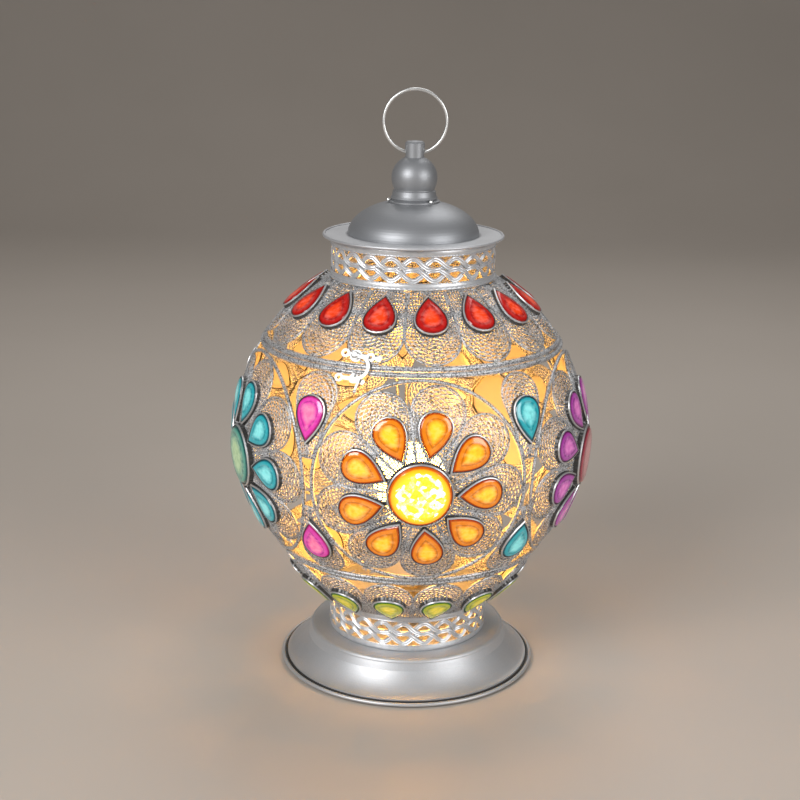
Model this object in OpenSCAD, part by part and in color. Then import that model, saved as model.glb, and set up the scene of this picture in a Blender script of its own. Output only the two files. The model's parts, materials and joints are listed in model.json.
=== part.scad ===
// Filigree globe table lamp: a perforated silver metal globe set with coloured
// cabochon stones, between two openwork gallery bands, on a spun metal foot.
// The lid is hinged at the back and latched at the front. +Z is up, and the
// origin is the centre of the felt's underside. Longitudes are measured from
// the front (-Y) towards +X, and latitudes from the globe's equator.

/* [Globe] */
// Outer radius of the globe's metal sheet
globe_r = 105; // [85:1:125]
// Height of the globe's centre above the table
globe_z = 149.5; // [140:0.5:175]
// Thickness of the filigree sheet
sheet_t = 0.8; // [0.6:0.1:1.5]
// Radius of the rim and frame wires
wire_r = 1.1; // [0.8:0.1:1.5]
// Latitude of the split between lid and bowl
lid_lat = 32.85; // [30:0.05:36]
// Latitude of the seam between the globe and its conical bottom
lower_lat = -40.5; // [-44:0.5:-38]

/* [Stones] */
// Widest width of a pear-shaped stone
pear_w = 17.5; // [14:0.5:18]
// Length of a pear-shaped stone, tip to round end
pear_l = 25; // [20:0.5:26]
// Diameter of a medallion's round centre stone
round_d = 35; // [28:0.5:36]
// Height of the metal cups above the sheet
cup_h = 4.2; // [3:0.1:5]
// Wall thickness of the metal cups
cup_t = 0.8; // [0.6:0.1:1.2]
// Height of the crown of each stone above the cup's edge
crown_h = 1.2; // [0.6:0.1:2]

/* [Medallions] */
// Longitude of the front medallion's centre
medallion_lon = 3.3; // [0:0.1:10]
// Gap between a medallion's centre cup and its pear cups
petal_gap = 1.4; // [0.6:0.1:2.5]
// Number of pear stones in a medallion
petal_count = 9; // [7:1:9]

/* [Lid and bowl stones] */
// Number of pear stones around the lid, and around the bowl's bottom
ring_count = 15; // [12:1:15]
// Share of the lid's free height that lies above the red stones
red_share = 0.26; // [0.1:0.01:0.9]
// Distance of the green stones from the lower seam, along the cone
green_reach = 28.5; // [26:0.5:30]

/* [Galleries] */
// Outer radius of both openwork bands
gallery_r = 48.5; // [42:0.5:54]
// Thickness of the bands' sheet
gallery_t = 1; // [0.8:0.1:1.5]
// Height of the top edge of the lower band
lower_gallery_top = 45.3; // [42:0.1:50]
// Height of the upper band
upper_gallery_h = 23.7; // [18:0.1:30]
// Number of pattern repeats around a band
gallery_count = 24; // [16:1:28]

/* [Foot] */
// Radius of the foot's rolled rim
foot_r = 78.8; // [72:0.1:95]
// Thickness of the felt
felt_t = 1.5; // [1:0.1:3]
// Width of the raised step outside the lower band
step_w = 12; // [8:0.5:16]
// Height of the step's top face
step_z = 22.5; // [19:0.5:26]
// Thickness of the foot's sheet metal
foot_t = 1; // [0.8:0.1:1.5]
// Radius of the cord hole in the bush
cord_r = 3.1; // [2.5:0.1:3.4]

/* [Cap and finial] */
// Overhang of the cap's brim past the upper band
brim_w = 4.5; // [2.5:0.5:10]
// Radius of the dome
dome_r = 38.8; // [34:0.1:44]
// Height of the dome above the brim
dome_h = 20.5; // [16:0.5:26]
// Widest radius of the finial's bulb
finial_r = 13.4; // [12:0.1:15]
// Radius of the finial's neck
neck_r = 5.7; // [5:0.1:7]
// Radius of the carry ring, to the middle of its wire
ring_r = 18.3; // [14:0.1:24]
// Radius of the carry ring's wire
ring_wire_r = 0.9; // [0.7:0.05:1.2]

/* [Lampholder and bulb] */
// Outer radius of the lampholder
holder_r = 13.5; // [12.5:0.5:16]
// Height of the lampholder's top edge
holder_top = 92; // [86:1:100]
// Radius of the bulb's screw cap
bulb_cap_r = 6.9; // [6.9:0.1:7]
// Radius of the bulb's glass
bulb_r = 22.5; // [17:0.5:24]

/* [Hinge and latch] */
// Longitude of the latch; the hinge is opposite
latch_lon = -20; // [-30:1:-15]
// Radius of the hinge pin
pin_r = 1.2; // [1:0.1:1.5]
// Width of the hinge
hinge_w = 20; // [16:1:26]
// Thickness of the latch and hinge plates
plate_t = 1; // [0.8:0.1:1.4]

/* [Hidden] */
$fn = 96;

SILVER = "silver";
GREY = "slategray";
BRASS = "goldenrod";

fit = 0.05;          // radial clearance of a running fit
seat = 0.2;          // gap between pieces that are soldered or rest on each other
deg_mm = globe_r * PI / 180;          // length of one degree on the globe

medallion_count = 5;
medallion_step = 360 / medallion_count;
petal_turn = -2.5;   // angle of the first petal from the viewer's right
ring_step = 360 / ring_count;
red_lon = 8.9;
green_lon = -9.2;
gap_up = 20;         // angle from the medallions' latitude to the gap stones
split_gap = 0.1;     // half the angle between lid and bowl
rim_a = 0.95;        // angle from the split to each rim wire
strip_a = 1.8;       // angle from the split to the far edge of each rim strip
joint_a = 0.15;      // angle left between neighbouring sheets
wire_a = wire_r / deg_mm;             // angle that half a wire covers on the globe
seam_wire_a = 0.85;  // angle from the lower seam to its upper wire
seam_strip_a = 1.4;  // angle from the lower seam to the edge of its strip
seam_wire_down = 3;  // distance down the cone to the seam's lower wire
seam_strip_down = 5; // distance down the cone to the edge of the seam's strip

// Medallions, whose frames lie a joint's width from both seams
medallion_high = lid_lat - strip_a - joint_a - wire_a;
medallion_low = lower_lat + seam_wire_a + joint_a + 2 * wire_a;
medallion_lat = (medallion_high + medallion_low) / 2;
medallion_a = (medallion_high - medallion_low) / 2;

// Latitudes of the gap panels' ends, clear of the bowl's rim and of the lower seam's wire
seam_gap = 0.107;
gap_high_lat = asin((sin(lid_lat - strip_a) * (globe_r - sheet_t) - seam_gap) / globe_r);
gap_low_lat = asin(sin(lower_lat + seam_wire_a) + (wire_r + seam_gap) / globe_r);

// Pear cups, measured from the middle of the stone's length
pear_tip = pear_l / 2 + cup_t * (pear_l - pear_w / 2) / (pear_w / 2);
pear_end = pear_l / 2 + cup_t;
petal_reach = (round_d / 2 + cup_t + petal_gap + pear_tip) / deg_mm;
upper_lat = acos(gallery_r / globe_r);
red_free = (upper_lat - lid_lat - strip_a) * deg_mm - pear_tip - pear_end;
red_lat = upper_lat - (red_share * red_free + pear_tip) / deg_mm;

// Lower cone, from the globe's lower seam to the lower gallery
seam_r = globe_r * cos(lower_lat);
seam_z = globe_z + globe_r * sin(lower_lat);
cone_dr = seam_r - gallery_r;
cone_dz = seam_z - lower_gallery_top;
cone_len = sqrt(cone_dr * cone_dr + cone_dz * cone_dz);
cone_lat = -atan2(cone_dr, cone_dz);
cone_in = [-sheet_t * cos(cone_lat), -sheet_t * sin(cone_lat)];

// Foot
step_r = gallery_r + step_w;
plate_top = felt_t + foot_t;
cover_r = foot_r - 3.6;
rim_bead_r = 1.1;
flare_z = 4.2;
step_foot_z = 16;
step_foot_r = step_r + 1.6;
step_round = 2.2;
flare_curve = 1.6;
bush_z = plate_top + 5.6;
bush_out = cover_r - 3.5;
bush_collar_r = cord_r + 2.2;
bush_cover_gap = 3.54; // from the bush's inner end to the cover above its collar
bush_rise = (bush_z + bush_collar_r - flare_z + foot_t) / (step_foot_z - flare_z);
bush_in = cover_r - foot_t - (cover_r - step_foot_r) * pow(bush_rise, 1 / flare_curve)
    - bush_cover_gap;

// Upper band and cap
upper_gallery_z = globe_z + globe_r * sin(upper_lat) + 0.6;
brim_r = gallery_r + brim_w;
brim_z = upper_gallery_z + upper_gallery_h;
cap_t = 1;
dome_z = brim_z + cap_t;
flange_r = finial_r + 1.6;
cap_top = dome_z + dome_h * sqrt(1 - pow((flange_r + 0.2) / dome_r, 2));
bolt_r = 2.45;

// Finial heights above the cap's flat top
finial_z = cap_top + 0.1;
bulb_mid = finial_z + 14.3;
neck_z = finial_z + 25.8;
neck_top = neck_z + 9.8;
ring_axis_z = neck_z + 2.2;
waist_z = finial_z + 7.5;
waist_r = finial_r - 1.6;
ring_rise = ring_r - sqrt(ring_r * ring_r - neck_r * neck_r);
ring_hole_r = ring_wire_r + ring_rise + 0.3;

// Lampholder, on its threaded tube
tube_r = 5;
tube_bore_r = 3.6;
bar_t = 1.5;
nut_h = 3;
nut_r = 8.5;
bar_z = lower_gallery_top - bar_t;
holder_z = lower_gallery_top + nut_h + seat;
holder_floor = holder_top - 28;
sleeve_r = 8.8;
bulb_cap_z = holder_top - 22;
bulb_neck_z = holder_top - 2;
bulb_mid_z = bulb_neck_z + 26;

// Latch and hinge, in the plane that touches the globe at the split
plate_n = 0.35;
hook_n = plate_n + plate_t + 0.5;
hook_t = 1.2;
rivet_u = -1.1;
rivet_v = 7.2;
hook_u = 1.6;
hook_v = 0.2;
hook_r = 6.4;
hook_w = 1.8;
stud_u = 0.4;
stud_v = -4.2;
stud_r = 0.9;
rivet_r = 1.25;
leaf_n = wire_r + seat;
knuckle_r = pin_r + 1.2;
knuckle_n = leaf_n + knuckle_r;
knuckle_w = hinge_w / 3;
leaf_l = 10;

function backwards(points) = [for (i = [len(points) - 1:-1:0]) points[i]];

// ---- placing ----

// Puts children on the globe: x to the right, y up the sheet, z outwards
module on_globe(lon, lat, height = 0) {
    translate([0, 0, globe_z])
        rotate([0, 0, lon])
            rotate([90 - lat, 0, 0])
                translate([0, 0, globe_r + height])
                    children();
}

// Puts children at an angle and a reach from a medallion's centre, x outwards
module on_medallion(index, angle, reach, height = 0) {
    translate([0, 0, globe_z])
        rotate([0, 0, medallion_lon + index * medallion_step])
            rotate([90 - medallion_lat, 0, 0])
                rotate([0, 0, angle])
                    rotate([0, reach, 0])
                        translate([0, 0, globe_r + height])
                            children();
}

// Point of the lower cone's outline, at a distance down from its seam
function cone_point(down) = [seam_r - down * cone_dr / cone_len, seam_z - down * cone_dz / cone_len];

// Puts children on the lower cone, at a distance down from its seam
module on_cone(lon, down) {
    rotate([0, 0, lon])
        translate([0, -cone_point(down)[0], cone_point(down)[1]])
            rotate([90 - cone_lat, 0, 0])
                children();
}

// ---- shapes that repeat ----

// Pear outline, tip towards -x, centred on its length, grown by extra
module pear(extra = 0) {
    round_r = pear_w / 2;
    reach = pear_l - round_r;
    touch = acos(round_r / reach);
    steps = 20;
    middle = pear_l / 2 - round_r;
    polygon(concat([[middle - reach - extra * reach / round_r, 0]],
        [for (i = [0:steps])
            let (a = -(180 - touch) + 2 * (180 - touch) * i / steps)
            [middle + (round_r + extra) * cos(a), (round_r + extra) * sin(a)]]));
}

// Depth to which a flat-bottomed ring of this inner radius sits on the globe
function sag(r) = globe_r - sqrt(globe_r * globe_r - r * r);

module pear_cup(sink = sag(pear_w / 2) - seat) {
    translate([0, 0, -sink])
        linear_extrude(cup_h + sink)
            difference() {
                pear(cup_t);
                pear(0.1);
            }
}

module pear_stone() {
    translate([0, 0, seat])
        linear_extrude(cup_h + crown_h - seat)
            pear();
}

module round_cup() {
    sink = sag(round_d / 2) - seat;
    translate([0, 0, -sink])
        difference() {
            cylinder(r = round_d / 2 + cup_t, h = cup_h + sink);
            translate([0, 0, -1])
                cylinder(r = round_d / 2 + 0.1, h = cup_h + sink + 2);
        }
}

// Cabochon with a flat back and a domed crown
module round_stone() {
    top = cup_h + 2 * crown_h;
    crown_r = 44;
    intersection() {
        translate([0, 0, seat])
            cylinder(r = round_d / 2, h = top);
        translate([0, 0, top - crown_r])
            sphere(crown_r);
    }
}

// Height on the globe at a latitude
function lat_z(lat) = globe_r * sin(lat);

// Band of globe sheet between two latitudes
module globe_zone(lat_low, lat_high) {
    translate([0, 0, globe_z])
        difference() {
            intersection() {
                sphere(globe_r);
                translate([0, 0, lat_z(lat_low)])
                    cylinder(r = globe_r + 5, h = lat_z(lat_high) - lat_z(lat_low));
            }
            sphere(globe_r - sheet_t);
        }
}

// Rim around the axis: a wire, and a strip of sheet between two near latitudes
module rim(wire_lat, from, to) {
    width = (to - from) * deg_mm;
    translate([0, 0, globe_z])
        rotate_extrude() {
            rotate((from + to) / 2)
                translate([globe_r - sheet_t, -width / 2])
                    square([sheet_t, width]);
            rotate(wire_lat)
                translate([globe_r, 0])
                    circle(wire_r, $fn = 32);
        }
}

// Wire ring around the axis at a latitude
module rim_wire(lat) {
    translate([0, 0, globe_z + globe_r * sin(lat)])
        rotate_extrude()
            translate([globe_r * cos(lat), 0])
                circle(wire_r, $fn = 32);
}

// Openwork band: sheet, two rails and two rows of eye-shaped holes
module gallery_band(low, high) {
    rail_r = 0.9;
    eye_r = 1.7;
    row = (high - low) / 6;
    difference() {
        rotate_extrude() {
            translate([gallery_r - gallery_t, low])
                square([gallery_t, high - low]);
            translate([gallery_r - 0.2, low + rail_r])
                circle(rail_r, $fn = 32);
            translate([gallery_r - 0.2, high - rail_r])
                circle(rail_r, $fn = 32);
        }
        for (i = [0:gallery_count - 1], side = [-1, 1])
            rotate([0, 0, 360 / gallery_count * (i + side / 4)])
                translate([0, -gallery_r, (low + high) / 2 + side * row])
                    rotate([90, 0, 0])
                        cylinder(r = eye_r, h = 4, center = true, $fn = 16);
    }
}

// ---- foot ----

module foot_felt() {
    color("dimgray")
        cylinder(r = foot_r - 8.8, h = felt_t);
}

module base_plate() {
    color(SILVER)
        rotate_extrude() {
            translate([0, felt_t])
                square([foot_r - rim_bead_r, foot_t]);
            translate([foot_r - rim_bead_r, felt_t + 0.6])
                circle(rim_bead_r, $fn = 32);
        }
}

module edge_band() {
    color("black")
        difference() {
            translate([0, 0, plate_top])
                cylinder(r = cover_r + 1.3, h = 0.8);
            translate([0, 0, plate_top - 1])
                cylinder(r = cover_r + 0.05, h = 4);
        }
}

// Outline of the foot cover's flare, from the rim up to the step, moved inwards
function flare(inset) = [for (i = [0:12])
    let (t = i / 12)
    [cover_r - inset - (cover_r - step_foot_r) * t,
        flare_z - inset + (step_foot_z - flare_z) * pow(t, flare_curve)]];

// Rounded edge of the step, moved inwards
function step_edge(inset) = [for (i = [0:6])
    let (a = 90 * i / 6)
    [step_r - step_round + (step_round - inset) * cos(a),
        step_z - step_round + (step_round - inset) * sin(a)]];

module base_cover() {
    color(SILVER)
        difference() {
            rotate_extrude()
                polygon(concat([[cover_r, plate_top]], flare(0), step_edge(0),
                    [[tube_r + fit, step_z], [tube_r + fit, step_z - foot_t]],
                    backwards(step_edge(foot_t)), backwards(flare(foot_t)),
                    [[cover_r - foot_t, plate_top]]));
            cord_hole(cord_r + 1.1 + fit);
        }
}

module cord_hole(r) {
    translate([0, bush_out + 10, bush_z])
        rotate([90, 0, 0])
            cylinder(r = r, h = bush_out - bush_in + 11);
}

module cord_bush() {
    color("black")
        difference() {
            translate([0, bush_out, bush_z])
                rotate([90, 0, 0]) {
                    cylinder(r = cord_r + 1.1, h = bush_out - bush_in);
                    translate([0, 0, bush_out - bush_in - 1.5])
                        cylinder(r = bush_collar_r, h = 1.5);
                }
            cord_hole(cord_r);
        }
}

// ---- inner stem and lampholder ----

module threaded_tube() {
    color(BRASS)
        difference() {
            translate([0, 0, step_z - 8])
                cylinder(r = tube_r, h = holder_z + 7 - step_z + 8);
            translate([0, 0, step_z - 9])
                cylinder(r = tube_bore_r, h = holder_z + 30 - step_z);
        }
}

module nut(z) {
    translate([0, 0, z])
        difference() {
            cylinder(r = nut_r, h = nut_h, $fn = 6);
            translate([0, 0, -1])
                cylinder(r = tube_r + fit, h = nut_h + 2);
        }
}

module tube_nuts() {
    color(BRASS) {
        nut(step_z - foot_t - nut_h);
        nut(step_z);
        nut(bar_z - nut_h);
        nut(lower_gallery_top);
    }
}

module cross_bar() {
    bar_w = 14;
    color(SILVER)
        difference() {
            intersection() {
                translate([-gallery_r, -bar_w / 2, bar_z])
                    cube([2 * gallery_r, bar_w, bar_t]);
                translate([0, 0, bar_z])
                    cylinder(r = gallery_r - gallery_t - 0.25, h = bar_t);
            }
            translate([0, 0, bar_z - 1])
                cylinder(r = tube_r + fit, h = bar_t + 2);
        }
}

module lampholder_body() {
    color("ivory")
        rotate_extrude()
            polygon([[tube_r + fit, holder_z], [holder_r - 3, holder_z], [holder_r, holder_z + 5],
                [holder_r, holder_top], [sleeve_r + 0.1, holder_top],
                [sleeve_r + 0.1, holder_floor], [3, holder_floor], [3, holder_floor - 4],
                [9, holder_floor - 6], [9, holder_z + 8], [tube_r + fit, holder_z + 8]]);
}

module contact_sleeve() {
    color(BRASS)
        rotate_extrude()
            polygon([[bulb_cap_r + 0.25, holder_floor], [sleeve_r, holder_floor],
                [sleeve_r, holder_floor + 1.5], [bulb_cap_r + 0.85, holder_floor + 1.5],
                [bulb_cap_r + 0.85, holder_top - 3], [bulb_cap_r + 0.25, holder_top - 3]]);
}

module contact_tongue() {
    color(BRASS)
        translate([0, 0, holder_floor - 5])
            cylinder(r = 2.9, h = bulb_cap_z - 2.9 - holder_floor + 5);
}

module bulb_glass() {
    wall = 0.7;
    neck = asin((bulb_cap_r + 0.6) / bulb_r);
    neck_in = asin((bulb_cap_r - 0.1) / (bulb_r - wall));
    color("lightyellow")
        rotate_extrude()
            polygon(concat([[bulb_cap_r + 0.6, bulb_neck_z + 0.1]],
                [for (i = [0:24]) let (a = -90 + neck + (180 - neck) * i / 24)
                    [bulb_r * cos(a), bulb_mid_z + bulb_r * sin(a)]],
                [for (i = [24:-1:0]) let (a = -90 + neck_in + (180 - neck_in) * i / 24)
                    [(bulb_r - wall) * cos(a), bulb_mid_z + (bulb_r - wall) * sin(a)]],
                [[bulb_cap_r - 0.1, bulb_neck_z + 0.1]]));
}

module bulb_cap() {
    color(SILVER)
        translate([0, 0, bulb_cap_z])
            difference() {
                cylinder(r = bulb_cap_r, h = bulb_neck_z - bulb_cap_z);
                translate([0, 0, 1])
                    cylinder(r = bulb_cap_r - 0.5, h = 40);
            }
}

module bulb_tip() {
    color(BRASS)
        translate([0, 0, bulb_cap_z - 2.8])
            cylinder(r1 = 2.4, r2 = 4.5, h = 2.7, $fn = 48);
}

// Glass stem with four upright filament strips around it
module bulb_filament() {
    stem_h = bulb_mid_z - bulb_cap_z - 6;
    color("gold") {
        translate([0, 0, bulb_cap_z + 1.1])
            cylinder(r = 2.2, h = stem_h);
        for (turn = [0:90:270])
            rotate([0, 0, turn])
                translate([3.1, 0, bulb_mid_z - 12])
                    cylinder(r = 0.8, h = 24, $fn = 24);
    }
}

// ---- bowl ----

module lower_gallery() {
    color(SILVER)
        gallery_band(step_z + 0.1, lower_gallery_top - 0.1);
}

module lower_bowl() {
    top = cone_point(seam_strip_down + seat);
    bottom = cone_point(cone_len - seat);
    color(SILVER)
        rotate_extrude()
            polygon([bottom, top, top + cone_in, bottom + cone_in]);
}

module green_bezels() {
    color(SILVER)
        for (i = [0:ring_count - 1])
            on_cone(green_lon + i * ring_step, green_reach)
                rotate([0, 0, 90])
                    pear_cup(-seat);
}

module green_stones() {
    color("yellowgreen")
        for (i = [0:ring_count - 1])
            on_cone(green_lon + i * ring_step, green_reach)
                rotate([0, 0, 90])
                    pear_stone();
}

// Two wires with a strip of sheet between them, where globe and cone meet
module lower_seam() {
    seam = cone_point(0);
    end = cone_point(seam_strip_down);
    color(SILVER) {
        rim_wire(lower_lat + seam_wire_a);
        globe_zone(lower_lat, lower_lat + seam_strip_a);
        rotate_extrude() {
            translate(cone_point(seam_wire_down))
                circle(wire_r, $fn = 32);
            polygon([end, seam, seam + cone_in, end + cone_in]);
        }
    }
}

// Round sheet in its wire frame
module medallion_panel(index) {
    frame_r = globe_r * sin(medallion_a);
    frame_z = globe_r * cos(medallion_a);
    color(SILVER)
        on_medallion(index, 0, 0, -globe_r) {
            difference() {
                intersection() {
                    sphere(globe_r);
                    translate([0, 0, frame_z - 5])
                        cylinder(r = frame_r, h = globe_r);
                }
                sphere(globe_r - sheet_t);
            }
            translate([0, 0, frame_z])
                rotate_extrude()
                    translate([frame_r, 0])
                        circle(wire_r, $fn = 32);
        }
}

module medallion_amber() { medallion_panel(0); }
module medallion_violet() { medallion_panel(1); }
module medallion_green() { medallion_panel(2); }
module medallion_rose() { medallion_panel(3); }
module medallion_teal() { medallion_panel(4); }

module medallion_bezels() {
    color(SILVER)
        for (index = [0:medallion_count - 1]) {
            on_medallion(index, 0, 0)
                round_cup();
            for (i = [0:petal_count - 1])
                on_medallion(index, petal_turn + i * 360 / petal_count, petal_reach)
                    pear_cup();
        }
}

module petal_stones(index) {
    for (i = [0:petal_count - 1])
        on_medallion(index, petal_turn + i * 360 / petal_count, petal_reach)
            pear_stone();
}

module petal_stones_amber() { color("orange") petal_stones(0); }
module petal_stones_violet() { color("mediumorchid") petal_stones(1); }
module petal_stones_green() { color("mediumseagreen") petal_stones(2); }
module petal_stones_rose() { color("hotpink") petal_stones(3); }
module petal_stones_teal() { color("darkturquoise") petal_stones(4); }

module centre_stone(index) {
    on_medallion(index, 0, 0)
        round_stone();
}

module centre_stone_amber() { color("gold") centre_stone(0); }
module centre_stone_garnet() { color("brown") centre_stone(1); }
module centre_stone_green() { color("seagreen") centre_stone(2); }
module centre_stone_rose() { color("deeppink") centre_stone(3); }
module centre_stone_teal() { color("lightseagreen") centre_stone(4); }

// Cylinders that clear the medallions' frames
module medallion_cuts() {
    clear_a = medallion_a + wire_a + joint_a;
    for (index = [0:medallion_count - 1])
        on_medallion(index, 0, 0, -globe_r / 2)
            cylinder(r = globe_r * sin(clear_a), h = globe_r);
}

module gap_panels_upper() {
    color(SILVER)
        difference() {
            globe_zone(medallion_lat + joint_a, gap_high_lat);
            medallion_cuts();
        }
}

module gap_panels_lower() {
    color(SILVER)
        difference() {
            globe_zone(gap_low_lat, medallion_lat - joint_a);
            medallion_cuts();
        }
}

// Puts children in a gap between medallions: side 1 above, side -1 below
module in_gap(index, side) {
    on_globe(medallion_lon + (index + 0.5) * medallion_step, medallion_lat + side * gap_up)
        rotate([0, 0, side * 90])
            children();
}

module gap_bezels() {
    color(SILVER)
        for (index = [0:medallion_count - 1], side = [-1, 1])
            in_gap(index, side)
                pear_cup();
}

module gap_stones(gaps) {
    for (index = gaps, side = [-1, 1])
        in_gap(index, side)
            pear_stone();
}

module gap_stones_pink() { color("deeppink") gap_stones([1, 4]); }
module gap_stones_teal() { color("turquoise") gap_stones([0, 2, 3]); }

module bowl_rim() {
    color(SILVER)
        rim(lid_lat - rim_a, lid_lat - strip_a, lid_lat - split_gap);
}

// ---- hinge and latch ----

module knuckle(from, to) {
    translate([from, 0, knuckle_n])
        rotate([0, 90, 0])
            cylinder(r = knuckle_r, h = to - from);
    translate([from, -knuckle_r - 0.4, leaf_n])
        cube([to - from, knuckle_r + 0.4, plate_t]);
}

// Hinge leaf below the pin, with knuckles over the given spans
module leaf(spans) {
    color(SILVER)
        on_globe(latch_lon + 180, lid_lat)
            difference() {
                union() {
                    translate([-hinge_w / 2, -leaf_l, leaf_n])
                        cube([hinge_w, leaf_l - knuckle_r - 0.3, plate_t]);
                    for (span = spans)
                        knuckle(span[0], span[1]);
                }
                translate([-hinge_w, 0, knuckle_n])
                    rotate([0, 90, 0])
                        cylinder(r = pin_r + fit, h = 2 * hinge_w);
            }
}

module hinge_leaf_lower() {
    leaf([[-hinge_w / 2, -knuckle_w / 2 - 0.1], [knuckle_w / 2 + 0.1, hinge_w / 2]]);
}

// The upper leaf is the lower one's form turned about the hinge's own normal
module hinge_leaf_upper() {
    color(SILVER)
        on_globe(latch_lon + 180, lid_lat)
            difference() {
                rotate([0, 0, 180])
                    union() {
                        translate([-hinge_w / 2, -leaf_l, leaf_n])
                            cube([hinge_w, leaf_l - knuckle_r - 0.3, plate_t]);
                        knuckle(-knuckle_w / 2 + 0.1, knuckle_w / 2 - 0.1);
                    }
                translate([-hinge_w, 0, knuckle_n])
                    rotate([0, 90, 0])
                        cylinder(r = pin_r + fit, h = 2 * hinge_w);
            }
}

module hinge_pin() {
    color(GREY)
        on_globe(latch_lon + 180, lid_lat)
            translate([-hinge_w / 2 - 0.8, 0, knuckle_n])
                rotate([0, 90, 0])
                    cylinder(r = pin_r, h = hinge_w + 1.6);
}

// Straight bar between two places in a plate's plane
module link(from, to, width) {
    step = to - from;
    translate(from)
        rotate(atan2(step[1], step[0]))
            translate([0, -width / 2])
                square([norm(step), width]);
}

module latch_plate() {
    eye_left = [-7.6, 8.4];
    eye_right = [7.4, 7];
    tail = [12.4, 6.6];
    rivet = [rivet_u, rivet_v];
    color(SILVER)
        on_globe(latch_lon, lid_lat, plate_n)
            linear_extrude(plate_t)
                difference() {
                    union() {
                        translate(eye_left) circle(2.5);
                        translate(eye_right) circle(2.7);
                        translate(tail) circle(1.6);
                        translate(rivet) circle(3.5);
                        link(eye_left, rivet, 2.4);
                        link(rivet, eye_right, 2.4);
                        link(eye_right, tail, 1.8);
                    }
                    translate(eye_left) circle(1.1);
                    translate(eye_right) circle(1.1);
                    translate(rivet) circle(rivet_r + fit);
                }
}

module latch_rivet() {
    head_n = hook_n + hook_t + 0.1;
    color(SILVER)
        on_globe(latch_lon, lid_lat)
            translate([rivet_u, rivet_v, 0]) {
                translate([0, 0, plate_n])
                    cylinder(r = rivet_r, h = head_n - plate_n + 0.1);
                translate([0, 0, head_n])
                    cylinder(r1 = 2.2, r2 = 1.4, h = 0.9);
            }
}

module catch_plate() {
    middle = [stud_u, stud_v - 1.7];
    eye_left = [-8.4, -6];
    tail = [5.6, -7.4];
    color(SILVER)
        on_globe(latch_lon, lid_lat, plate_n) {
            linear_extrude(plate_t)
                difference() {
                    union() {
                        translate(middle) circle(2.7);
                        translate(eye_left) circle(2.4);
                        translate(tail) circle(1.5);
                        link(eye_left, middle, 2.2);
                        link(middle, tail, 1.8);
                    }
                    translate(eye_left) circle(1.1);
                }
            translate([stud_u, stud_v, 0])
                cylinder(r = stud_r, h = hook_n - plate_n + hook_t + 0.3);
        }
}

// C-shaped hook: eye on the rivet, claw below the stud, tail with a ball end
module latch_hook() {
    claw_a = -86;
    eye_a = 112;
    tail_top = [hook_u + 2.6, hook_v - 5.8];
    tail_end = [3.1, -13.6];
    far = 3 * hook_r;
    color(SILVER)
        on_globe(latch_lon, lid_lat, hook_n) {
            linear_extrude(hook_t)
                difference() {
                    union() {
                        translate([hook_u, hook_v])
                            difference() {
                                circle(hook_r + hook_w / 2);
                                circle(hook_r - hook_w / 2);
                                polygon([[0, 0], far * [cos(eye_a), sin(eye_a)], [-far, 0],
                                    far * [cos(claw_a), sin(claw_a)]]);
                            }
                        translate([rivet_u, rivet_v]) circle(2.4);
                        link(tail_top, tail_end, 1.3);
                    }
                    translate([rivet_u, rivet_v]) circle(rivet_r + fit);
                }
            translate([tail_end[0], tail_end[1], hook_t / 2])
                sphere(1.3, $fn = 32);
        }
}

// ---- lid ----

module lid_rim() {
    color(SILVER)
        rim(lid_lat + rim_a, lid_lat + split_gap, lid_lat + strip_a);
}

module lid_filigree() {
    color(SILVER)
        globe_zone(lid_lat + strip_a + joint_a, upper_lat);
}

module red_bezels() {
    color(SILVER)
        for (i = [0:ring_count - 1])
            on_globe(red_lon + i * ring_step, red_lat)
                rotate([0, 0, -90])
                    pear_cup();
}

module red_stones() {
    color("orangered")
        for (i = [0:ring_count - 1])
            on_globe(red_lon + i * ring_step, red_lat)
                rotate([0, 0, -90])
                    pear_stone();
}

module upper_gallery() {
    color(SILVER)
        gallery_band(upper_gallery_z, brim_z - 0.1);
}

// Outline of the dome, moved inwards
function dome_arc(inset) = [for (i = [0:16])
    let (a = acos((flange_r + 0.2) / dome_r) * i / 16)
    [(dome_r - inset) * cos(a), dome_z - inset + dome_h * sin(a)]];

module cap() {
    edge_r = 0.9;
    hole_r = bolt_r + 0.2;
    flat_z = dome_arc(0)[16][1];
    color(GREY)
        rotate_extrude() {
            polygon(concat([[brim_r, brim_z], [brim_r, dome_z]], dome_arc(0),
                [[hole_r, flat_z], [hole_r, flat_z - cap_t]], backwards(dome_arc(cap_t)),
                [[dome_r - cap_t, brim_z]]));
            translate([brim_r - 0.3, brim_z + edge_r - 0.2])
                circle(edge_r, $fn = 32);
        }
}

module finial() {
    up = (neck_z - bulb_mid) / sqrt(1 - pow(neck_r / finial_r, 2));
    down = (bulb_mid - waist_z) / sqrt(1 - pow(waist_r / finial_r, 2));
    top_a = acos(neck_r / finial_r);
    low_a = acos(waist_r / finial_r);
    bead_r = finial_r + 0.4;
    color(GREY)
        difference() {
            rotate_extrude()
                polygon(concat([[0, finial_z], [flange_r, finial_z], [flange_r, finial_z + 0.9],
                    [bead_r - 0.6, finial_z + 1.4], [bead_r, finial_z + 2.4],
                    [bead_r - 0.7, finial_z + 3.6], [waist_r + 0.7, waist_z - 0.9],
                    [waist_r, waist_z - 0.5]],
                    [for (i = [0:8]) let (a = -low_a + low_a * i / 8)
                        [finial_r * cos(a), bulb_mid + down * sin(a)]],
                    [for (i = [1:12]) let (a = top_a * i / 12)
                        [finial_r * cos(a), bulb_mid + up * sin(a)]],
                    [[neck_r, neck_top - 1.6], [neck_r - 0.9, neck_top - 0.6], [0, neck_top]]));
            translate([-neck_r * 3, 0, ring_axis_z])
                rotate([0, 90, 0])
                    cylinder(r = ring_hole_r, h = neck_r * 6);
            translate([0, 0, finial_z - 1])
                cylinder(r = bolt_r + fit, h = 12);
        }
}

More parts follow.
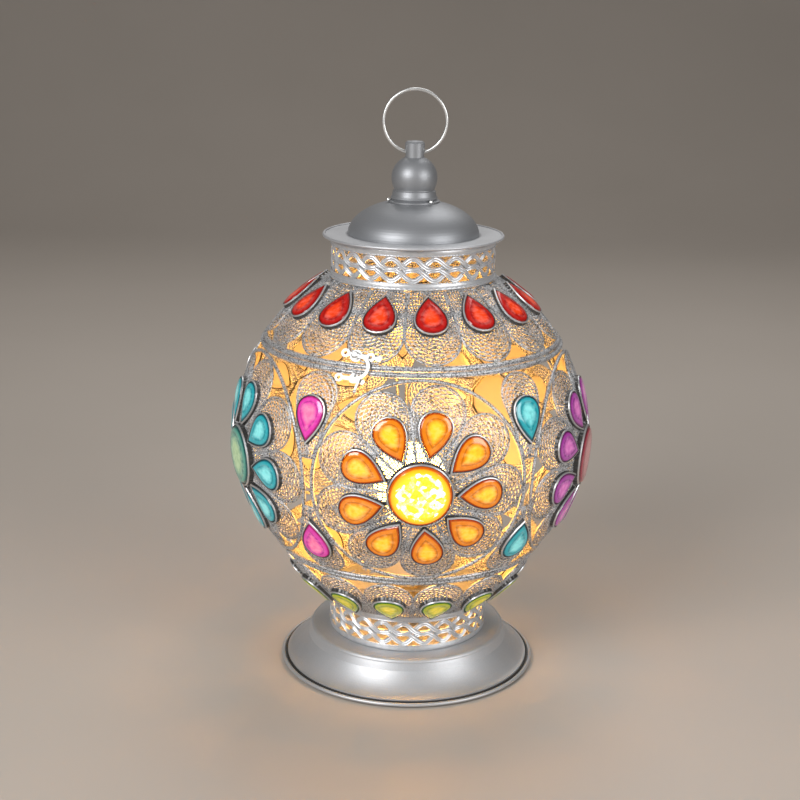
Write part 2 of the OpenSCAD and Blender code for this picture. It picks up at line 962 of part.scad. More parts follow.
module finial_bolt() {
    head_h = 3;
    color(GREY)
        translate([0, 0, cap_top - cap_t - head_h]) {
            cylinder(r = 5, h = head_h, $fn = 6);
            cylinder(r = bolt_r, h = head_h + cap_t + 9);
        }
}

// Three small screws in the cap, whose heads hold down the finial's flange
module finial_screws() {
    head_r = 1.2;
    color(SILVER)
        for (lon = [40, 160, 280])
            rotate([0, 0, lon])
                translate([0, -flange_r - 0.2, finial_z + 1.2])
                    cylinder(r1 = head_r, r2 = head_r - 0.3, h = 1);
}

module carry_ring() {
    color(SILVER)
        translate([0, 0, ring_axis_z + ring_r])
            rotate([90, 0, 0])
                rotate_extrude()
                    translate([ring_r, 0])
                        circle(ring_wire_r, $fn = 32);
}

foot_felt();
base_plate();
edge_band();
base_cover();
cord_bush();
threaded_tube();
tube_nuts();
lower_gallery();
cross_bar();
lampholder_body();
contact_sleeve();
contact_tongue();
lower_bowl();
green_bezels();
green_stones();
lower_seam();
medallion_amber();
medallion_violet();
medallion_green();
medallion_rose();
medallion_teal();
medallion_bezels();
petal_stones_amber();
petal_stones_violet();
petal_stones_green();
petal_stones_rose();
petal_stones_teal();
centre_stone_amber();
centre_stone_garnet();
centre_stone_green();
centre_stone_rose();
centre_stone_teal();
gap_panels_upper();
gap_panels_lower();
gap_bezels();
gap_stones_pink();
gap_stones_teal();
bowl_rim();
catch_plate();
hinge_leaf_lower();
hinge_leaf_upper();
hinge_pin();
lid_rim();
lid_filigree();
red_bezels();
red_stones();
upper_gallery();
cap();
finial();
finial_bolt();
finial_screws();
latch_plate();
latch_rivet();
latch_hook();
carry_ring();
bulb_glass();
bulb_cap();
bulb_tip();
bulb_filament();
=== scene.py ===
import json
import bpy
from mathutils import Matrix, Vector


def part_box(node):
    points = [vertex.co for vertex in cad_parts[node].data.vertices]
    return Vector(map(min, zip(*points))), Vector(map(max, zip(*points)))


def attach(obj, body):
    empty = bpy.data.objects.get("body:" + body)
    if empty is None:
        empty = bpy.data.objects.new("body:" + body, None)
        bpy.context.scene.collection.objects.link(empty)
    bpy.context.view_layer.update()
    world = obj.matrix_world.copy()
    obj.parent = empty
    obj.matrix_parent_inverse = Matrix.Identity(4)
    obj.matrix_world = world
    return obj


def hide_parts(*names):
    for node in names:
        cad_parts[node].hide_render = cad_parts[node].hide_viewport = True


bl_info = {
    "name": "Filigree Globe Lamp",
    "version": (1, 0, 0),
    "blender": (4, 5, 0),
    "location": "3D View > Sidebar > Lamp",
    "description": "Models a pierced silver globe lamp set with coloured stones",
    "category": "Object",
}

from math import (
    acos, asin, atan, ceil, cos, degrees, hypot, pi, radians, sin, sqrt, tan, tanh,
)

import bpy
from bpy.props import FloatProperty, FloatVectorProperty, IntProperty, PointerProperty
from mathutils import Matrix, Vector

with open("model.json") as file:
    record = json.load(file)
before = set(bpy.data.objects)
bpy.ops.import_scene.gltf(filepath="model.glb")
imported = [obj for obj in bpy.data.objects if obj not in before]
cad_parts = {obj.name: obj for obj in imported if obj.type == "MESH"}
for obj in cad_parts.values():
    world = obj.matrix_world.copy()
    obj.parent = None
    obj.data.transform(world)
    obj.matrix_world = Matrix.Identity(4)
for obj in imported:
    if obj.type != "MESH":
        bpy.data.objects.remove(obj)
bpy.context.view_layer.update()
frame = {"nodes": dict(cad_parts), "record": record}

MM = 0.001
MEDALLIONS = ("amber", "violet", "green", "rose", "teal")
CENTRES = ("amber", "garnet", "green", "rose", "teal")
RING_STONES = 15
MERGE = 1e-6
# Each stone's own colour, painted darker at the rim and brighter at the table for the bulb's
# light through it.
STONE_COLOURS_AND_PAINTED_LIGHT = {  # rim, belt, table
    "amber": ((0.30, 0.032, 0.0), (0.62, 0.17, 0.004), (0.92, 0.48, 0.022)),
    "red": ((0.20, 0.003, 0.002), (0.34, 0.004, 0.002), (0.72, 0.045, 0.004)),
    "violet": ((0.10, 0.010, 0.08), (0.26, 0.032, 0.23), (0.52, 0.11, 0.38)),
    "garnet": ((0.08, 0.010, 0.017), (0.22, 0.032, 0.045), (0.38, 0.10, 0.11)),
    "green": ((0.002, 0.06, 0.02), (0.007, 0.22, 0.08), (0.19, 0.58, 0.19)),
    "rose": ((0.30, 0.007, 0.12), (0.55, 0.035, 0.30), (0.88, 0.18, 0.33)),
    "teal": ((0.005, 0.07, 0.09), (0.018, 0.27, 0.31), (0.18, 0.60, 0.60)),
    "sea_green": ((0.005, 0.045, 0.045), (0.06, 0.22, 0.17), (0.34, 0.50, 0.26)),
    "lime": ((0.017, 0.10, 0.005), (0.34, 0.36, 0.007), (0.76, 0.62, 0.02)),
}
STONE_BACK = (0.42, 0.38, 0.32)
UNLIT = (0, 0, 0)
STONE_FRONT = 0.26, 0.32


# ---- sizes and colours ----


def length(name, description, default):
    return FloatProperty(name=name, description=description, default=default, unit="LENGTH")


def colour(name, description, default):
    return FloatVectorProperty(
        name=name, description=description, default=default, subtype="COLOR", min=0, max=1
    )


class LampSizes(bpy.types.PropertyGroup):
    """Sizes of the lamp's visible pieces, which match its frame."""

    globe_r: length("Globe radius", "Outer radius of the filigree globe", 105 * MM)
    globe_z: length("Globe height", "Height of the globe's centre", 149.5 * MM)
    pear_w: length("Pear width", "Widest width of a pear stone", 17.5 * MM)
    pear_l: length("Pear length", "Length of a pear stone", 25 * MM)
    round_d: length("Round stone", "Diameter of a medallion's centre stone", 35 * MM)
    cup_h: length("Cup height", "Height of the cups above the sheet", 2.4 * MM)
    cup_t: length("Cup wall", "Wall thickness of the cups", 0.8 * MM)
    crown_h: length("Crown", "Height of the stones above their cups", 1.0 * MM)
    sheet_t: length("Sheet", "Thickness of the filigree", 0.7 * MM)
    bar_w: length("Bar", "Width of the bars between the pierced holes", 0.62 * MM)
    row_h: length("Row", "Distance between rows of pierced holes", 2.5 * MM)
    wire_r: length("Wire", "Radius of the wires along the petals", 0.7 * MM)
    frame_r: length("Frame wire", "Radius of the medallions' frame wires", 1.1 * MM)
    columns: IntProperty(
        name="Columns", description="Pierced holes around a stone", default=40, min=20, max=80
    )


class LampColours(bpy.types.PropertyGroup):
    """Colours of the lamp's finishes."""

    silver: colour("Silver", "Filigree and wires", (0.62, 0.625, 0.64))
    # Dark of the filigree's spots and the cups' walls: partly oxide, partly painted shade.
    tarnish_and_shade: colour("Tarnish", "Recesses of the filigree", (0.10, 0.10, 0.10))
    satin: colour("Satin silver", "Foot and brim", (0.60, 0.61, 0.63))
    pewter: colour("Pewter", "Dome and finial", (0.30, 0.31, 0.325))
    glow: colour("Glow", "Light of the bulb", (1.0, 0.45, 0.06))


# ---- placing ----


def turn(angle, axis):
    return Matrix.Rotation(radians(angle), 4, axis)


def shift(x, y, z):
    return Matrix.Translation((x, y, z))


class Globe:
    """Places on the globe and on the bowl below it, as the frame has them."""

    medallion_lon, medallion_lat, medallion_a = 3.3, -4.0, 34.3
    petal_count, petal_turn, petal_reach = 9, -2.5, 18.4
    petal_slit, frame_clear = 0.5, 0.9
    red_lat, red_lon, green_lon, gap_up = 51.5, 8.9, -9.2, 20
    lid_edge_lat, ring_slit = 35.0, 0.3
    gap_half, gap_end, gap_low = 14.6, 27.2 * MM, -22 * MM
    green_under_seam = 5.2 * MM
    green_reach = 29.5 * MM
    seam_lat, gallery_r, gallery_top = -40.5, 48.5 * MM, 45.3 * MM

    def __init__(self, sizes):
        self.r, self.z = sizes.globe_r, sizes.globe_z
        self.seam_r = self.r * cos(radians(self.seam_lat))
        self.seam_z = self.z + self.r * sin(radians(self.seam_lat))
        rise = self.seam_z**2 + self.seam_r**2 - self.gallery_top**2 - self.gallery_r**2
        self.bowl_z = rise / (2 * (self.seam_z - self.gallery_top))
        self.bowl_r = hypot(self.seam_r, self.bowl_z - self.seam_z)
        self.bowl_high = asin((self.bowl_z - self.seam_z) / self.bowl_r)
        self.bowl_low = acos(self.gallery_r / self.bowl_r)
        self.bowl_mid = self.bowl_high + self.green_reach / self.bowl_r

    def at(self, lon, lat):
        """x to the viewer's right, y up the sheet, z outwards."""
        return (
            shift(0, 0, self.z) @ turn(lon, "Z") @ turn(90 - lat, "X") @ shift(0, 0, self.r)
        )

    def on_medallion(self, index, angle=0.0, reach=0.0):
        """x away from the medallion's centre, z outwards."""
        return (
            shift(0, 0, self.z)
            @ turn(self.medallion_lon + 72 * index, "Z")
            @ turn(90 - self.medallion_lat, "X")
            @ turn(angle, "Z")
            @ turn(reach, "Y")
            @ shift(0, 0, self.r)
        )

    def petals(self, index):
        step = 360 / self.petal_count
        return [
            self.on_medallion(index, self.petal_turn + step * i, self.petal_reach)
            for i in range(self.petal_count)
        ]

    def red(self):
        step = 360 / RING_STONES
        return [
            self.at(self.red_lon + step * i, self.red_lat) @ turn(-90, "Z")
            for i in range(RING_STONES)
        ]

    def green(self):
        return [
            shift(0, 0, self.bowl_z)
            @ turn(self.green_lon + 360 / RING_STONES * i, "Z")
            @ turn(90 + degrees(self.bowl_mid), "X")
            @ shift(0, 0, self.bowl_r)
            @ turn(90, "Z")
            for i in range(RING_STONES)
        ]

    def gap(self, index, side):
        lon = self.medallion_lon + 72 * (index + 0.5)
        lat = self.medallion_lat + side * self.gap_up
        return self.at(lon, lat) @ turn(side * 90, "Z")

    def onto_sphere(self, point, radius=0.0):
        """Lays a point of a flat pattern, x and y in its plane, z above it, on the globe."""
        r = radius or self.r
        ray = Vector((point.x, point.y, r)).normalized() * (r + point.z)
        return ray - Vector((0, 0, r))

    def onto_bowl(self, point):
        return self.onto_sphere(point, self.bowl_r)


# ---- modelling ----


def choose(*objects):
    """Selects these objects and nothing else."""
    if bpy.context.object and bpy.context.object.mode != "OBJECT":
        bpy.ops.object.mode_set(mode="OBJECT")
    bpy.ops.object.select_all(action="DESELECT")
    for item in objects:
        item.select_set(True)
    if objects:
        bpy.context.view_layer.objects.active = objects[0]


def edit(piece, pick=None, kind="FACE"):
    """Opens a piece in edit mode, with what pick accepts selected, or all of it."""
    choose(piece)
    if pick:
        lists = {"VERT": "vertices", "EDGE": "edges", "FACE": "polygons"}
        bpy.ops.object.mode_set(mode="EDIT")
        bpy.ops.mesh.select_mode(type=kind)
        bpy.ops.mesh.select_all(action="DESELECT")
        bpy.ops.object.mode_set(mode="OBJECT")
        for item in getattr(piece.data, lists[kind]):
            item.select = pick(item)
        bpy.ops.object.mode_set(mode="EDIT")
    else:
        bpy.ops.object.mode_set(mode="EDIT")
        bpy.ops.mesh.select_mode(type=kind)
        bpy.ops.mesh.select_all(action="SELECT")


def done():
    bpy.ops.object.mode_set(mode="OBJECT")


def sheet(name, columns, rows, place, smooth=35):
    """Grid of faces shaped by place(u, v), u and v from 0 to 1, merged where edges meet."""
    choose()
    bpy.ops.mesh.primitive_grid_add(x_subdivisions=columns, y_subdivisions=rows, size=1)
    piece = bpy.context.object
    piece.name = name
    for corner in piece.data.vertices:
        corner.co = place(corner.co.x + 0.5, corner.co.y + 0.5)
    edit(piece)
    bpy.ops.mesh.remove_doubles(threshold=MERGE)
    bpy.ops.mesh.normals_make_consistent(inside=False)
    done()
    bpy.ops.object.shade_smooth_by_angle(angle=radians(smooth))
    return piece


def turned(name, outline, columns, profile, smooth=35):
    """Piece around an outline: each profile entry is (growth of the outline, height)."""
    last = len(profile) - 1

    def place(u, v):
        grow, height = profile[round(v * last)]
        x, y = outline(u, grow)
        return Vector((x, y, height))

    return sheet(name, columns, last, place, smooth)


def tube(name, path, columns, radius):
    """Closed round wire along path(u), which gives a point in the pattern's plane."""
    step, sides = 0.5 / columns, 6

    def place(u, v):
        x, y = path(u)
        x0, y0 = path((u - step) % 1)
        x1, y1 = path((u + step) % 1)
        along = Vector((x1 - x0, y1 - y0)).normalized()
        out, up = radius * cos(2 * pi * v), radius * sin(2 * pi * v)
        return Vector((x + along.y * out, y - along.x * out, up))

    return sheet(name, columns, sides, place, 80)


def ring(name, radius, height, thick, columns=180, sides=8, twist=0, depth=0.0):
    """Wire around the lamp's axis, twisted like a rope where twist is set."""

    def place(u, v):
        around, spot = 2 * pi * u, 2 * pi * v
        wide = thick * (1 + depth * cos(twist * around + 2 * spot))
        r = radius + wide * cos(spot)
        return Vector((r * cos(around), r * sin(around), height + wide * sin(spot)))

    return sheet(name, columns, sides, place, 60)


def lay(piece, onto):
    """Lays a flat piece on a curved surface."""
    for corner in piece.data.vertices:
        corner.co = onto(corner.co)


def thicken(piece, amount, offset=-1.0):
    choose(piece)
    wall = piece.modifiers.new("wall", "SOLIDIFY")
    wall.thickness = amount
    wall.offset = offset
    bpy.ops.object.modifier_apply(modifier=wall.name)


def joined(name, pieces):
    choose(*pieces)
    if len(pieces) > 1:
        bpy.ops.object.join()
    piece = bpy.context.object
    piece.name = name
    piece.data.name = name
    return piece


def repeated(name, pattern, places):
    """One piece made of a copy of the pattern, with its own mesh, at each place."""
    copies = []
    for place in places:
        copy = pattern.copy()
        copy.data = pattern.data.copy()
        bpy.context.scene.collection.objects.link(copy)
        copy.data.transform(place)
        copies.append(copy)
    return joined(name, copies)


def forget(*pieces):
    for piece in pieces:
        bpy.data.objects.remove(piece)


def fit(piece, body, slot, finish, *nodes):
    """Hands a finished piece to its body, its finish and the frame nodes it stands for."""
    piece.data.materials.clear()
    piece.data.materials.append(finish)
    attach(piece, body)
    if nodes:
        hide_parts(*nodes)


# ---- outlines ----


class Pear:
    """Outline of a pear stone: tip towards -x, round end towards +x."""

    fullness = 4 / (3 * sqrt(3))
    gather = 0.055

    def __init__(self, sizes):
        self.round_r = sizes.pear_w / 2
        self.half = sizes.pear_l / 2
        self.middle = self.half - self.round_r

    def __call__(self, u, grow=0.0):
        """Point at the share u of the way around from the tip."""
        size = 1 + grow / self.round_r
        t = 2 * pi * (u + self.gather * sin(4 * pi * u))
        x = -self.half * cos(t)
        y = -self.round_r * sin(t) * abs(sin(t / 2)) / self.fullness
        return self.middle + size * (x - self.middle), size * y


class Lobe:
    """Outline of a petal: two straight flanks from an apex, closed by a round end."""

    def __init__(self, apex, half_angle, end, low):
        self.low = low
        slope = sin(half_angle)
        self.r = (end + apex) * slope / (1 + slope)
        self.x = end - self.r
        self.swing = pi / 2 + half_angle
        self.start = Vector((low, -(low + apex) * tan(half_angle)))

    def corner(self, u):
        """Point at the share u of the way around, from the low end's lower corner."""
        first = Vector((self.x + self.r * cos(self.swing), -self.r * sin(self.swing)))
        flank = (first - self.start).length
        arc = 2 * self.swing * self.r
        base = 2 * abs(self.start.y)
        way = u * (2 * flank + arc + base)
        if way < flank:
            return self.start.lerp(first, way / flank)
        if way < flank + arc:
            a = -self.swing + (way - flank) / self.r
            return Vector((self.x + self.r * cos(a), self.r * sin(a)))
        if way < 2 * flank + arc:
            t = (way - flank - arc) / flank
            p = first.lerp(self.start, t)
            return Vector((p.x, -p.y))
        t = (way - 2 * flank - arc) / base
        return Vector((self.low, -self.start.y * (1 - 2 * t)))

    def cuts(self):
        """Planes that trim a flat net to this outline: a point and a normal for each."""
        steps = 20
        for i in range(steps + 1):
            a = self.swing * (2 * i / steps - 1)
            yield (self.x + self.r * cos(a), self.r * sin(a), 0), (cos(a), sin(a), 0)
        yield (self.low, 0, 0), (-1, 0, 0)


def pierced_petal(name, sizes, pear, lobe, onto):
    """Filigree petal around a pear stone: rows of pierced diamonds and an edge wire."""
    depth = lobe.x + lobe.r - pear.middle - pear.round_r
    rows = ceil(depth / sizes.row_h) + 1
    foot = sizes.cup_t * 0.6

    def place(u, v):
        x, y = pear(u, foot + v * rows * sizes.row_h)
        return Vector((x, y, 0))

    net = sheet(name, sizes.columns, rows, place)
    edit(net)
    bpy.ops.mesh.poke()
    done()
    corners = len(net.data.vertices)
    faces_at = {}
    for face in net.data.polygons:
        for key in face.edge_keys:
            faces_at[key] = faces_at.get(key, 0) + 1
    centres = corners - sizes.columns * rows
    edit(
        net,
        lambda e: max(e.vertices) < centres and faces_at[tuple(sorted(e.vertices))] == 2,
        "EDGE",
    )
    bpy.ops.mesh.dissolve_edges(use_verts=False)
    done()
    edit(net)
    bpy.ops.mesh.inset(thickness=sizes.bar_w / 2, use_individual=True)
    bpy.ops.mesh.delete(type="FACE")
    for point, normal in lobe.cuts():
        bpy.ops.mesh.select_all(action="SELECT")
        bpy.ops.mesh.bisect(plane_co=point, plane_no=normal, clear_outer=True)
    done()
    lay(net, onto)
    thicken(net, sizes.sheet_t)
    wire_columns = 48
    wire = tube(name + "_wire", lobe.corner, wire_columns, sizes.wire_r)
    lay(wire, onto)
    return joined(name, [net, wire])


# ---- shader maths ----


class Value:
    """A number or colour inside a finish, on which sums can be written."""

    def __init__(self, finish, socket):
        self.finish = finish
        self.socket = socket

    def _sum(self, operation, a, b):
        return self.finish.node("ShaderNodeMath", {"operation": operation}, {0: a, 1: b})

    def __add__(self, other):
        return self._sum("ADD", self, other)

    def __radd__(self, other):
        return self._sum("ADD", other, self)

    def __sub__(self, other):
        return self._sum("SUBTRACT", self, other)

    def __rsub__(self, other):
        return self._sum("SUBTRACT", other, self)

    def __mul__(self, other):
        return self._sum("MULTIPLY", self, other)

    def __rmul__(self, other):
        return self._sum("MULTIPLY", other, self)

    def __pow__(self, other):
        return self._sum("POWER", self, other)

    def sine(self):
        return self._sum("SINE", self, 0)

    def ramp(self, low, high):
        """0 below low, 1 above high, smooth between."""
        settings = {"interpolation_type": "SMOOTHSTEP", "clamp": True}
        inputs = {"Value": self, "From Min": low, "From Max": high}
        return self.finish.node("ShaderNodeMapRange", settings, inputs)


class Finish:
    """A procedural material, built up node by node."""

    def __init__(self, name):
        self.material = bpy.data.materials.new(name)
        self.material.use_nodes = True
        self.tree = self.material.node_tree
        self.shader = self.tree.nodes["Principled BSDF"]
        self.places = self.node("ShaderNodeTexCoord", {}, {}, "Object")

    def node(self, kind, settings, inputs, output=0):
        made = self.tree.nodes.new(kind)
        stops = settings.pop("stops", None)
        for key, value in settings.items():
            setattr(made, key, value)
        if stops:
            ramp = made.color_ramp
            while len(ramp.elements) < len(stops):
                ramp.elements.new(1)
            for element, (position, shade) in zip(ramp.elements, stops):
                element.position = position
                element.color = (*shade, 1)
        for key, value in inputs.items():
            self.join(made.inputs[key], value)
        return Value(self, made.outputs[output])

    def join(self, socket, value):
        if isinstance(value, Value):
            self.tree.links.new(value.socket, socket)
        elif hasattr(value, "__len__") and len(value) == 3 and socket.type == "RGBA":
            socket.default_value = (*value, 1)
        else:
            socket.default_value = value

    def set(self, **sockets):
        for name, value in sockets.items():
            self.join(self.shader.inputs[name.replace("_", " ").title()], value)

    def noise(self, size, detail=2.0, place=None):
        """Soft blotches of a size in metres, from 0 to 1."""
        inputs = {"Vector": place or self.places, "Scale": 1 / size, "Detail": detail}
        return self.node("ShaderNodeTexNoise", {}, inputs, "Fac")

    def cells(self, size, output="Distance"):
        """Grains of a size in metres: distance from each one's middle, or its own colour."""
        inputs = {"Vector": self.places, "Scale": 1 / size}
        return self.node("ShaderNodeTexVoronoi", {}, inputs, output)

    def stretched(self, x, y, z):
        return self.node("ShaderNodeMapping", {}, {"Vector": self.places, "Scale": (x, y, z)})

    def xyz(self):
        return [
            self.node("ShaderNodeSeparateXYZ", {}, {0: self.places}, axis) for axis in "XYZ"
        ]

    def uv(self):
        place = self.node("ShaderNodeTexCoord", {}, {}, "UV")
        return [self.node("ShaderNodeSeparateXYZ", {}, {0: place}, axis) for axis in "XY"]

    def mix(self, amount, first, second):
        inputs = {0: amount, 6: first, 7: second}
        return self.node("ShaderNodeMix", {"data_type": "RGBA"}, inputs, 2)

    def shades(self, amount, stops):
        return self.node("ShaderNodeValToRGB", {"stops": stops}, {0: amount})

    def bump(self, height, depth, strength=1.0):
        """Raises the surface by height, from 0 to 1, times depth in metres."""
        inputs = {"Height": height, "Distance": depth, "Strength": strength}
        self.set(normal=self.node("ShaderNodeBump", {}, inputs))


def silver(colours):
    """Cast and plated silver wire: random darker spots, partly oxide and partly painted shade
    in its recesses, with worn silver between them.
    """
    finish = Finish("silver_filigree")
    blotch = finish.noise(7 * MM, 4)
    beads = finish.cells(0.9 * MM)
    # Painted shade and oxide together, in random spots of cells and blotches.
    shade_and_oxide_spots = (beads * 0.9 + blotch * 0.5 - 0.35).ramp(0.1, 0.75)
    finish.set(
        base_color=finish.mix(shade_and_oxide_spots, colours.silver, colours.tarnish_and_shade),
        metallic=0.5,
        roughness=0.3 + blotch * 0.2,
    )
    finish.bump(1 - beads, 0.18 * MM, 0.7)
    return finish.material


def bezel_silver(colours):
    """Cups: plain silver rolled lip; darker milled side wall, partly oxide and partly painted
    shade.
    """
    finish = Finish("bezel_silver")
    around, along = finish.uv()
    rib_count = 40
    ribs = (around * (2 * pi * rib_count)).sine() * 0.5 + 0.5
    lip = along.ramp(0.42, 0.5) * (1 - along.ramp(0.72, 0.8))
    blotch = finish.noise(5 * MM, 3)
    # The side wall painted darker than the lip: partly oxide, partly painted shade.
    wall = finish.mix(ribs * 0.6 + blotch * 0.3, colours.tarnish_and_shade, (0.10, 0.095, 0.09))
    finish.set(
        base_color=finish.mix(lip, wall, colours.silver),
        metallic=0.8,
        roughness=0.28 + blotch * 0.2,
    )
    finish.bump(ribs * (1 - lip), 0.3 * MM)
    return finish.material


def spun_metal(name, shade, light=None, rough=0.36):
    """Spun sheet with fine turning lines and a powdery satin lacquer. Where light is set,
    it is the colour of the brim, beyond the dome's foot."""
    finish = Finish(name)
    x, y, z = finish.xyz()
    reach = (x * x + y * y) ** 0.5
    line_scale = 900
    turning = {0: reach * line_scale, 1: z * line_scale}
    lines = finish.noise(1.0, 3, finish.node("ShaderNodeCombineXYZ", {}, turning))
    powder = finish.noise(0.35 * MM, 1)
    cloud = finish.noise(28 * MM, 2)
    tone = shade
    if light:
        brim = reach.ramp(39.2 * MM, 40.5 * MM)
        tone = finish.mix(brim, shade, light)
    darker = finish.mix(powder * 0.35 + cloud * 0.3, tone, (0.2, 0.2, 0.21))
    finish.set(
        base_color=darker,
        metallic=0.6,
        roughness=rough + lines * 0.12 + powder * 0.06,
    )
    finish.bump(lines * 0.6 + powder * 0.4, 0.04 * MM, 0.5)
    return finish.material


def plain_metal(name, shade):
    """Turned or drawn metal with a slight cloudiness."""
    finish = Finish(name)
    blotch = finish.noise(2 * MM, 4)
    finish.set(
        base_color=finish.mix(blotch * 0.5, shade, [0.55 * c for c in shade]),
        metallic=0.9,
        roughness=0.25 + blotch * 0.2,
    )
    finish.bump(blotch, 0.08 * MM, 0.6)
    return finish.material


def matt(name, shade, rough, size, depth):
    """Plastic, rubber or felt: a soft grain in its colour and surface."""
    finish = Finish(name)
    grain = finish.noise(size, 5)
    finish.set(
        base_color=finish.mix(grain * 0.5, shade, [0.5 * c for c in shade]),
        roughness=rough + grain * 0.1,
    )
    finish.bump(grain, depth)
    return finish.material


def ribbon_silver(colours):
    """Stamped ribbons and rails: silver with random duller blotches."""
    finish = Finish("ribbon_silver")
    blotch = finish.noise(3 * MM, 4)
    grain = finish.noise(0.5 * MM, 2)
    tone = finish.mix(blotch.ramp(0.35, 0.7) * 0.6, colours.silver, (0.50, 0.51, 0.53))
    finish.set(base_color=tone, metallic=0.6, roughness=0.26 + blotch * 0.2)
    finish.bump(grain + blotch, 0.06 * MM, 0.6)
    return finish.material


def stone(name, rim, belt, table):
    """Foil-backed glass stone with a painted glow for the bulb's light from behind: dark rim,
    clear belt, a table painted brighter, with painted streaks of light.
    """
    finish = Finish(name)
    _, along = finish.uv()
    streaks = finish.noise(4.5 * MM, 3, finish.stretched(1, 1, 2.2))
    flakes = finish.noise(3.0 * MM, 3)
    depth = along + (streaks - 0.5) * 0.03
    dark = [0.12 * c for c in rim]
    edge = [0.62 * c for c in belt]
    # The stone's colour in bands, painted darker at the rim and brighter towards the table,
    # for the bulb's light through it.
    bands = finish.shades(depth, [
        (0.26, dark), (0.34, rim), (0.46, rim), (0.52, belt), (0.635, belt), (0.675, edge),
        (0.72, belt), (0.86, table),
    ])
    # Painted highlight: streaky patches of light reflected by the foil, towards the table.
    light = (streaks * 0.6 + flakes * 0.55).ramp(0.5, 0.72) * along.ramp(0.5, 0.74)
    tone = finish.mix(light * 0.25, bands, [0.2025 + 0.7975 * c for c in table])
    shade = finish.mix((1 - flakes).ramp(0.45, 0.8) * 0.35, tone, edge)
    front = along.ramp(*STONE_FRONT)
    # The glow is painted light: emission stands in for the bulb's light through the front;
    # the back, seen from inside, is left unlit.
    finish.set(
        base_color=finish.mix(front, STONE_BACK, shade),
        emission_color=finish.mix(front, UNLIT, shade),
        emission_strength=0.42,
        roughness=0.08 + streaks * 0.1,
        coat_weight=0.35,
        coat_roughness=0.05,
    )
    finish.bump(flakes, 0.12 * MM, 0.6)
    return finish.material


def crackle_stone():
    """Centre stone with a crushed heart in a clear amber rim; its sparkle and glow are
    painted light, for the bulb's light through it.
    """
    finish = Finish("crackle_amber_stone")
    _, along = finish.uv()
    shards = finish.cells(2.7 * MM, "Color")
    spark = finish.node("ShaderNodeSeparateXYZ", {}, {0: shards}, "X")
    flakes = finish.noise(1.3 * MM, 5)
    wide = finish.noise(6 * MM, 3)
    heart = (along + (spark - 0.5) * 0.07 + (wide - 0.5) * 0.12).ramp(0.685, 0.705)
    # The heart painted in bright yellows and near white: painted sparkle of the light through
    # its shards.
    bright = finish.shades(spark * 0.55 + flakes * 0.6, [
        (0.25, (0.98, 0.42, 0.01)), (0.45, (1.0, 0.66, 0.03)), (0.62, (1.0, 0.86, 0.22)),
        (0.78, (1.0, 0.97, 0.72)),
    ])
    # The rim painted dark outside and brighter inwards, for the light through the stone.
    rim = finish.shades(along + (flakes - 0.5) * 0.05, [
        (0.26, (0.05, 0.01, 0.0)), (0.36, (0.33, 0.05, 0.0)), (0.46, (0.40, 0.07, 0.0)),
        (0.53, (0.80, 0.27, 0.005)), (0.70, (0.95, 0.46, 0.015)),
    ])
    tone = finish.mix(heart, rim, bright)
    front = along.ramp(*STONE_FRONT)
    # The glow is painted light: emission stands in for the bulb's light through the front;
    # the back is left unlit.
    finish.set(
        base_color=finish.mix(front, STONE_BACK, tone),
        emission_color=finish.mix(front, UNLIT, tone),
        emission_strength=0.85,
        roughness=0.12,
        coat_weight=0.5,
        coat_roughness=0.05,
    )
    finish.bump(spark * heart + flakes * 0.3, 0.5 * MM, 0.8)
    return finish.material


def lit_bulb(colours):
    """Warm frosted bulb with soft clouds in its light."""
    finish = Finish("bulb_glass")
    cloud = finish.noise(12 * MM, 2)
    tone = finish.mix(cloud * 0.3, colours.glow, (1.0, 0.50, 0.12))
    finish.set(base_color=tone, emission_color=tone, emission_strength=58.0, roughness=0.2)
    return finish.material


def make_finishes(colours):
    steel = (0.74, 0.74, 0.73)
    brass = (0.75, 0.58, 0.28)
    made = {
        "silver_filigree": silver(colours),
        "bezel_silver": bezel_silver(colours),
        "satin_silver": spun_metal("satin_silver", colours.satin),
        "dome_pewter": spun_metal("dome_pewter", colours.pewter, colours.satin, 0.38),
        "bright_steel": plain_metal("bright_steel", steel),
        "brass": plain_metal("brass", brass),
        "bulb_cap_metal": plain_metal("bulb_cap_metal", (0.7, 0.7, 0.7)),
        "black_felt": matt("black_felt", (0.035, 0.035, 0.037), 0.85, 0.6 * MM, 0.3 * MM),
        "black_rubber": matt("black_rubber", (0.018, 0.018, 0.018), 0.55, 2 * MM, 0.05 * MM),
        "ivory_plastic": matt("ivory_plastic", (0.8, 0.76, 0.66), 0.4, 3 * MM, 0.04 * MM),
        "filament": plain_metal("filament", (0.9, 0.7, 0.3)),
        "ribbon_silver": ribbon_silver(colours),
        "bulb_glass": lit_bulb(colours),
        "crackle_amber_stone": crackle_stone(),
    }
    for name, shades in STONE_COLOURS_AND_PAINTED_LIGHT.items():
        made[name + "_stone"] = stone(name + "_stone", *shades)
    return made


# ---- patterns shared by several pieces ----


def pear_cup(sizes, pear):
    """Cup with a flared foot and a rolled lip."""
    t, h, clear, columns = sizes.cup_t, sizes.cup_h, 0.02 * MM, 44
    profile = [
        (clear, 0),
        (t + 0.45 * MM, -0.5 * MM),
        (t + 0.1 * MM, 0.8 * MM),
        (t, h - 1.0 * MM),
        (t + 0.2 * MM, h - 0.55 * MM),
        (t + 0.1 * MM, h - 0.1 * MM),
        (t * 0.5, h + 0.1 * MM),
        (0.05 * MM, h - 0.15 * MM),
        (clear, 0),
    ]
    return turned("pear_cup", pear, columns, profile, smooth=40)


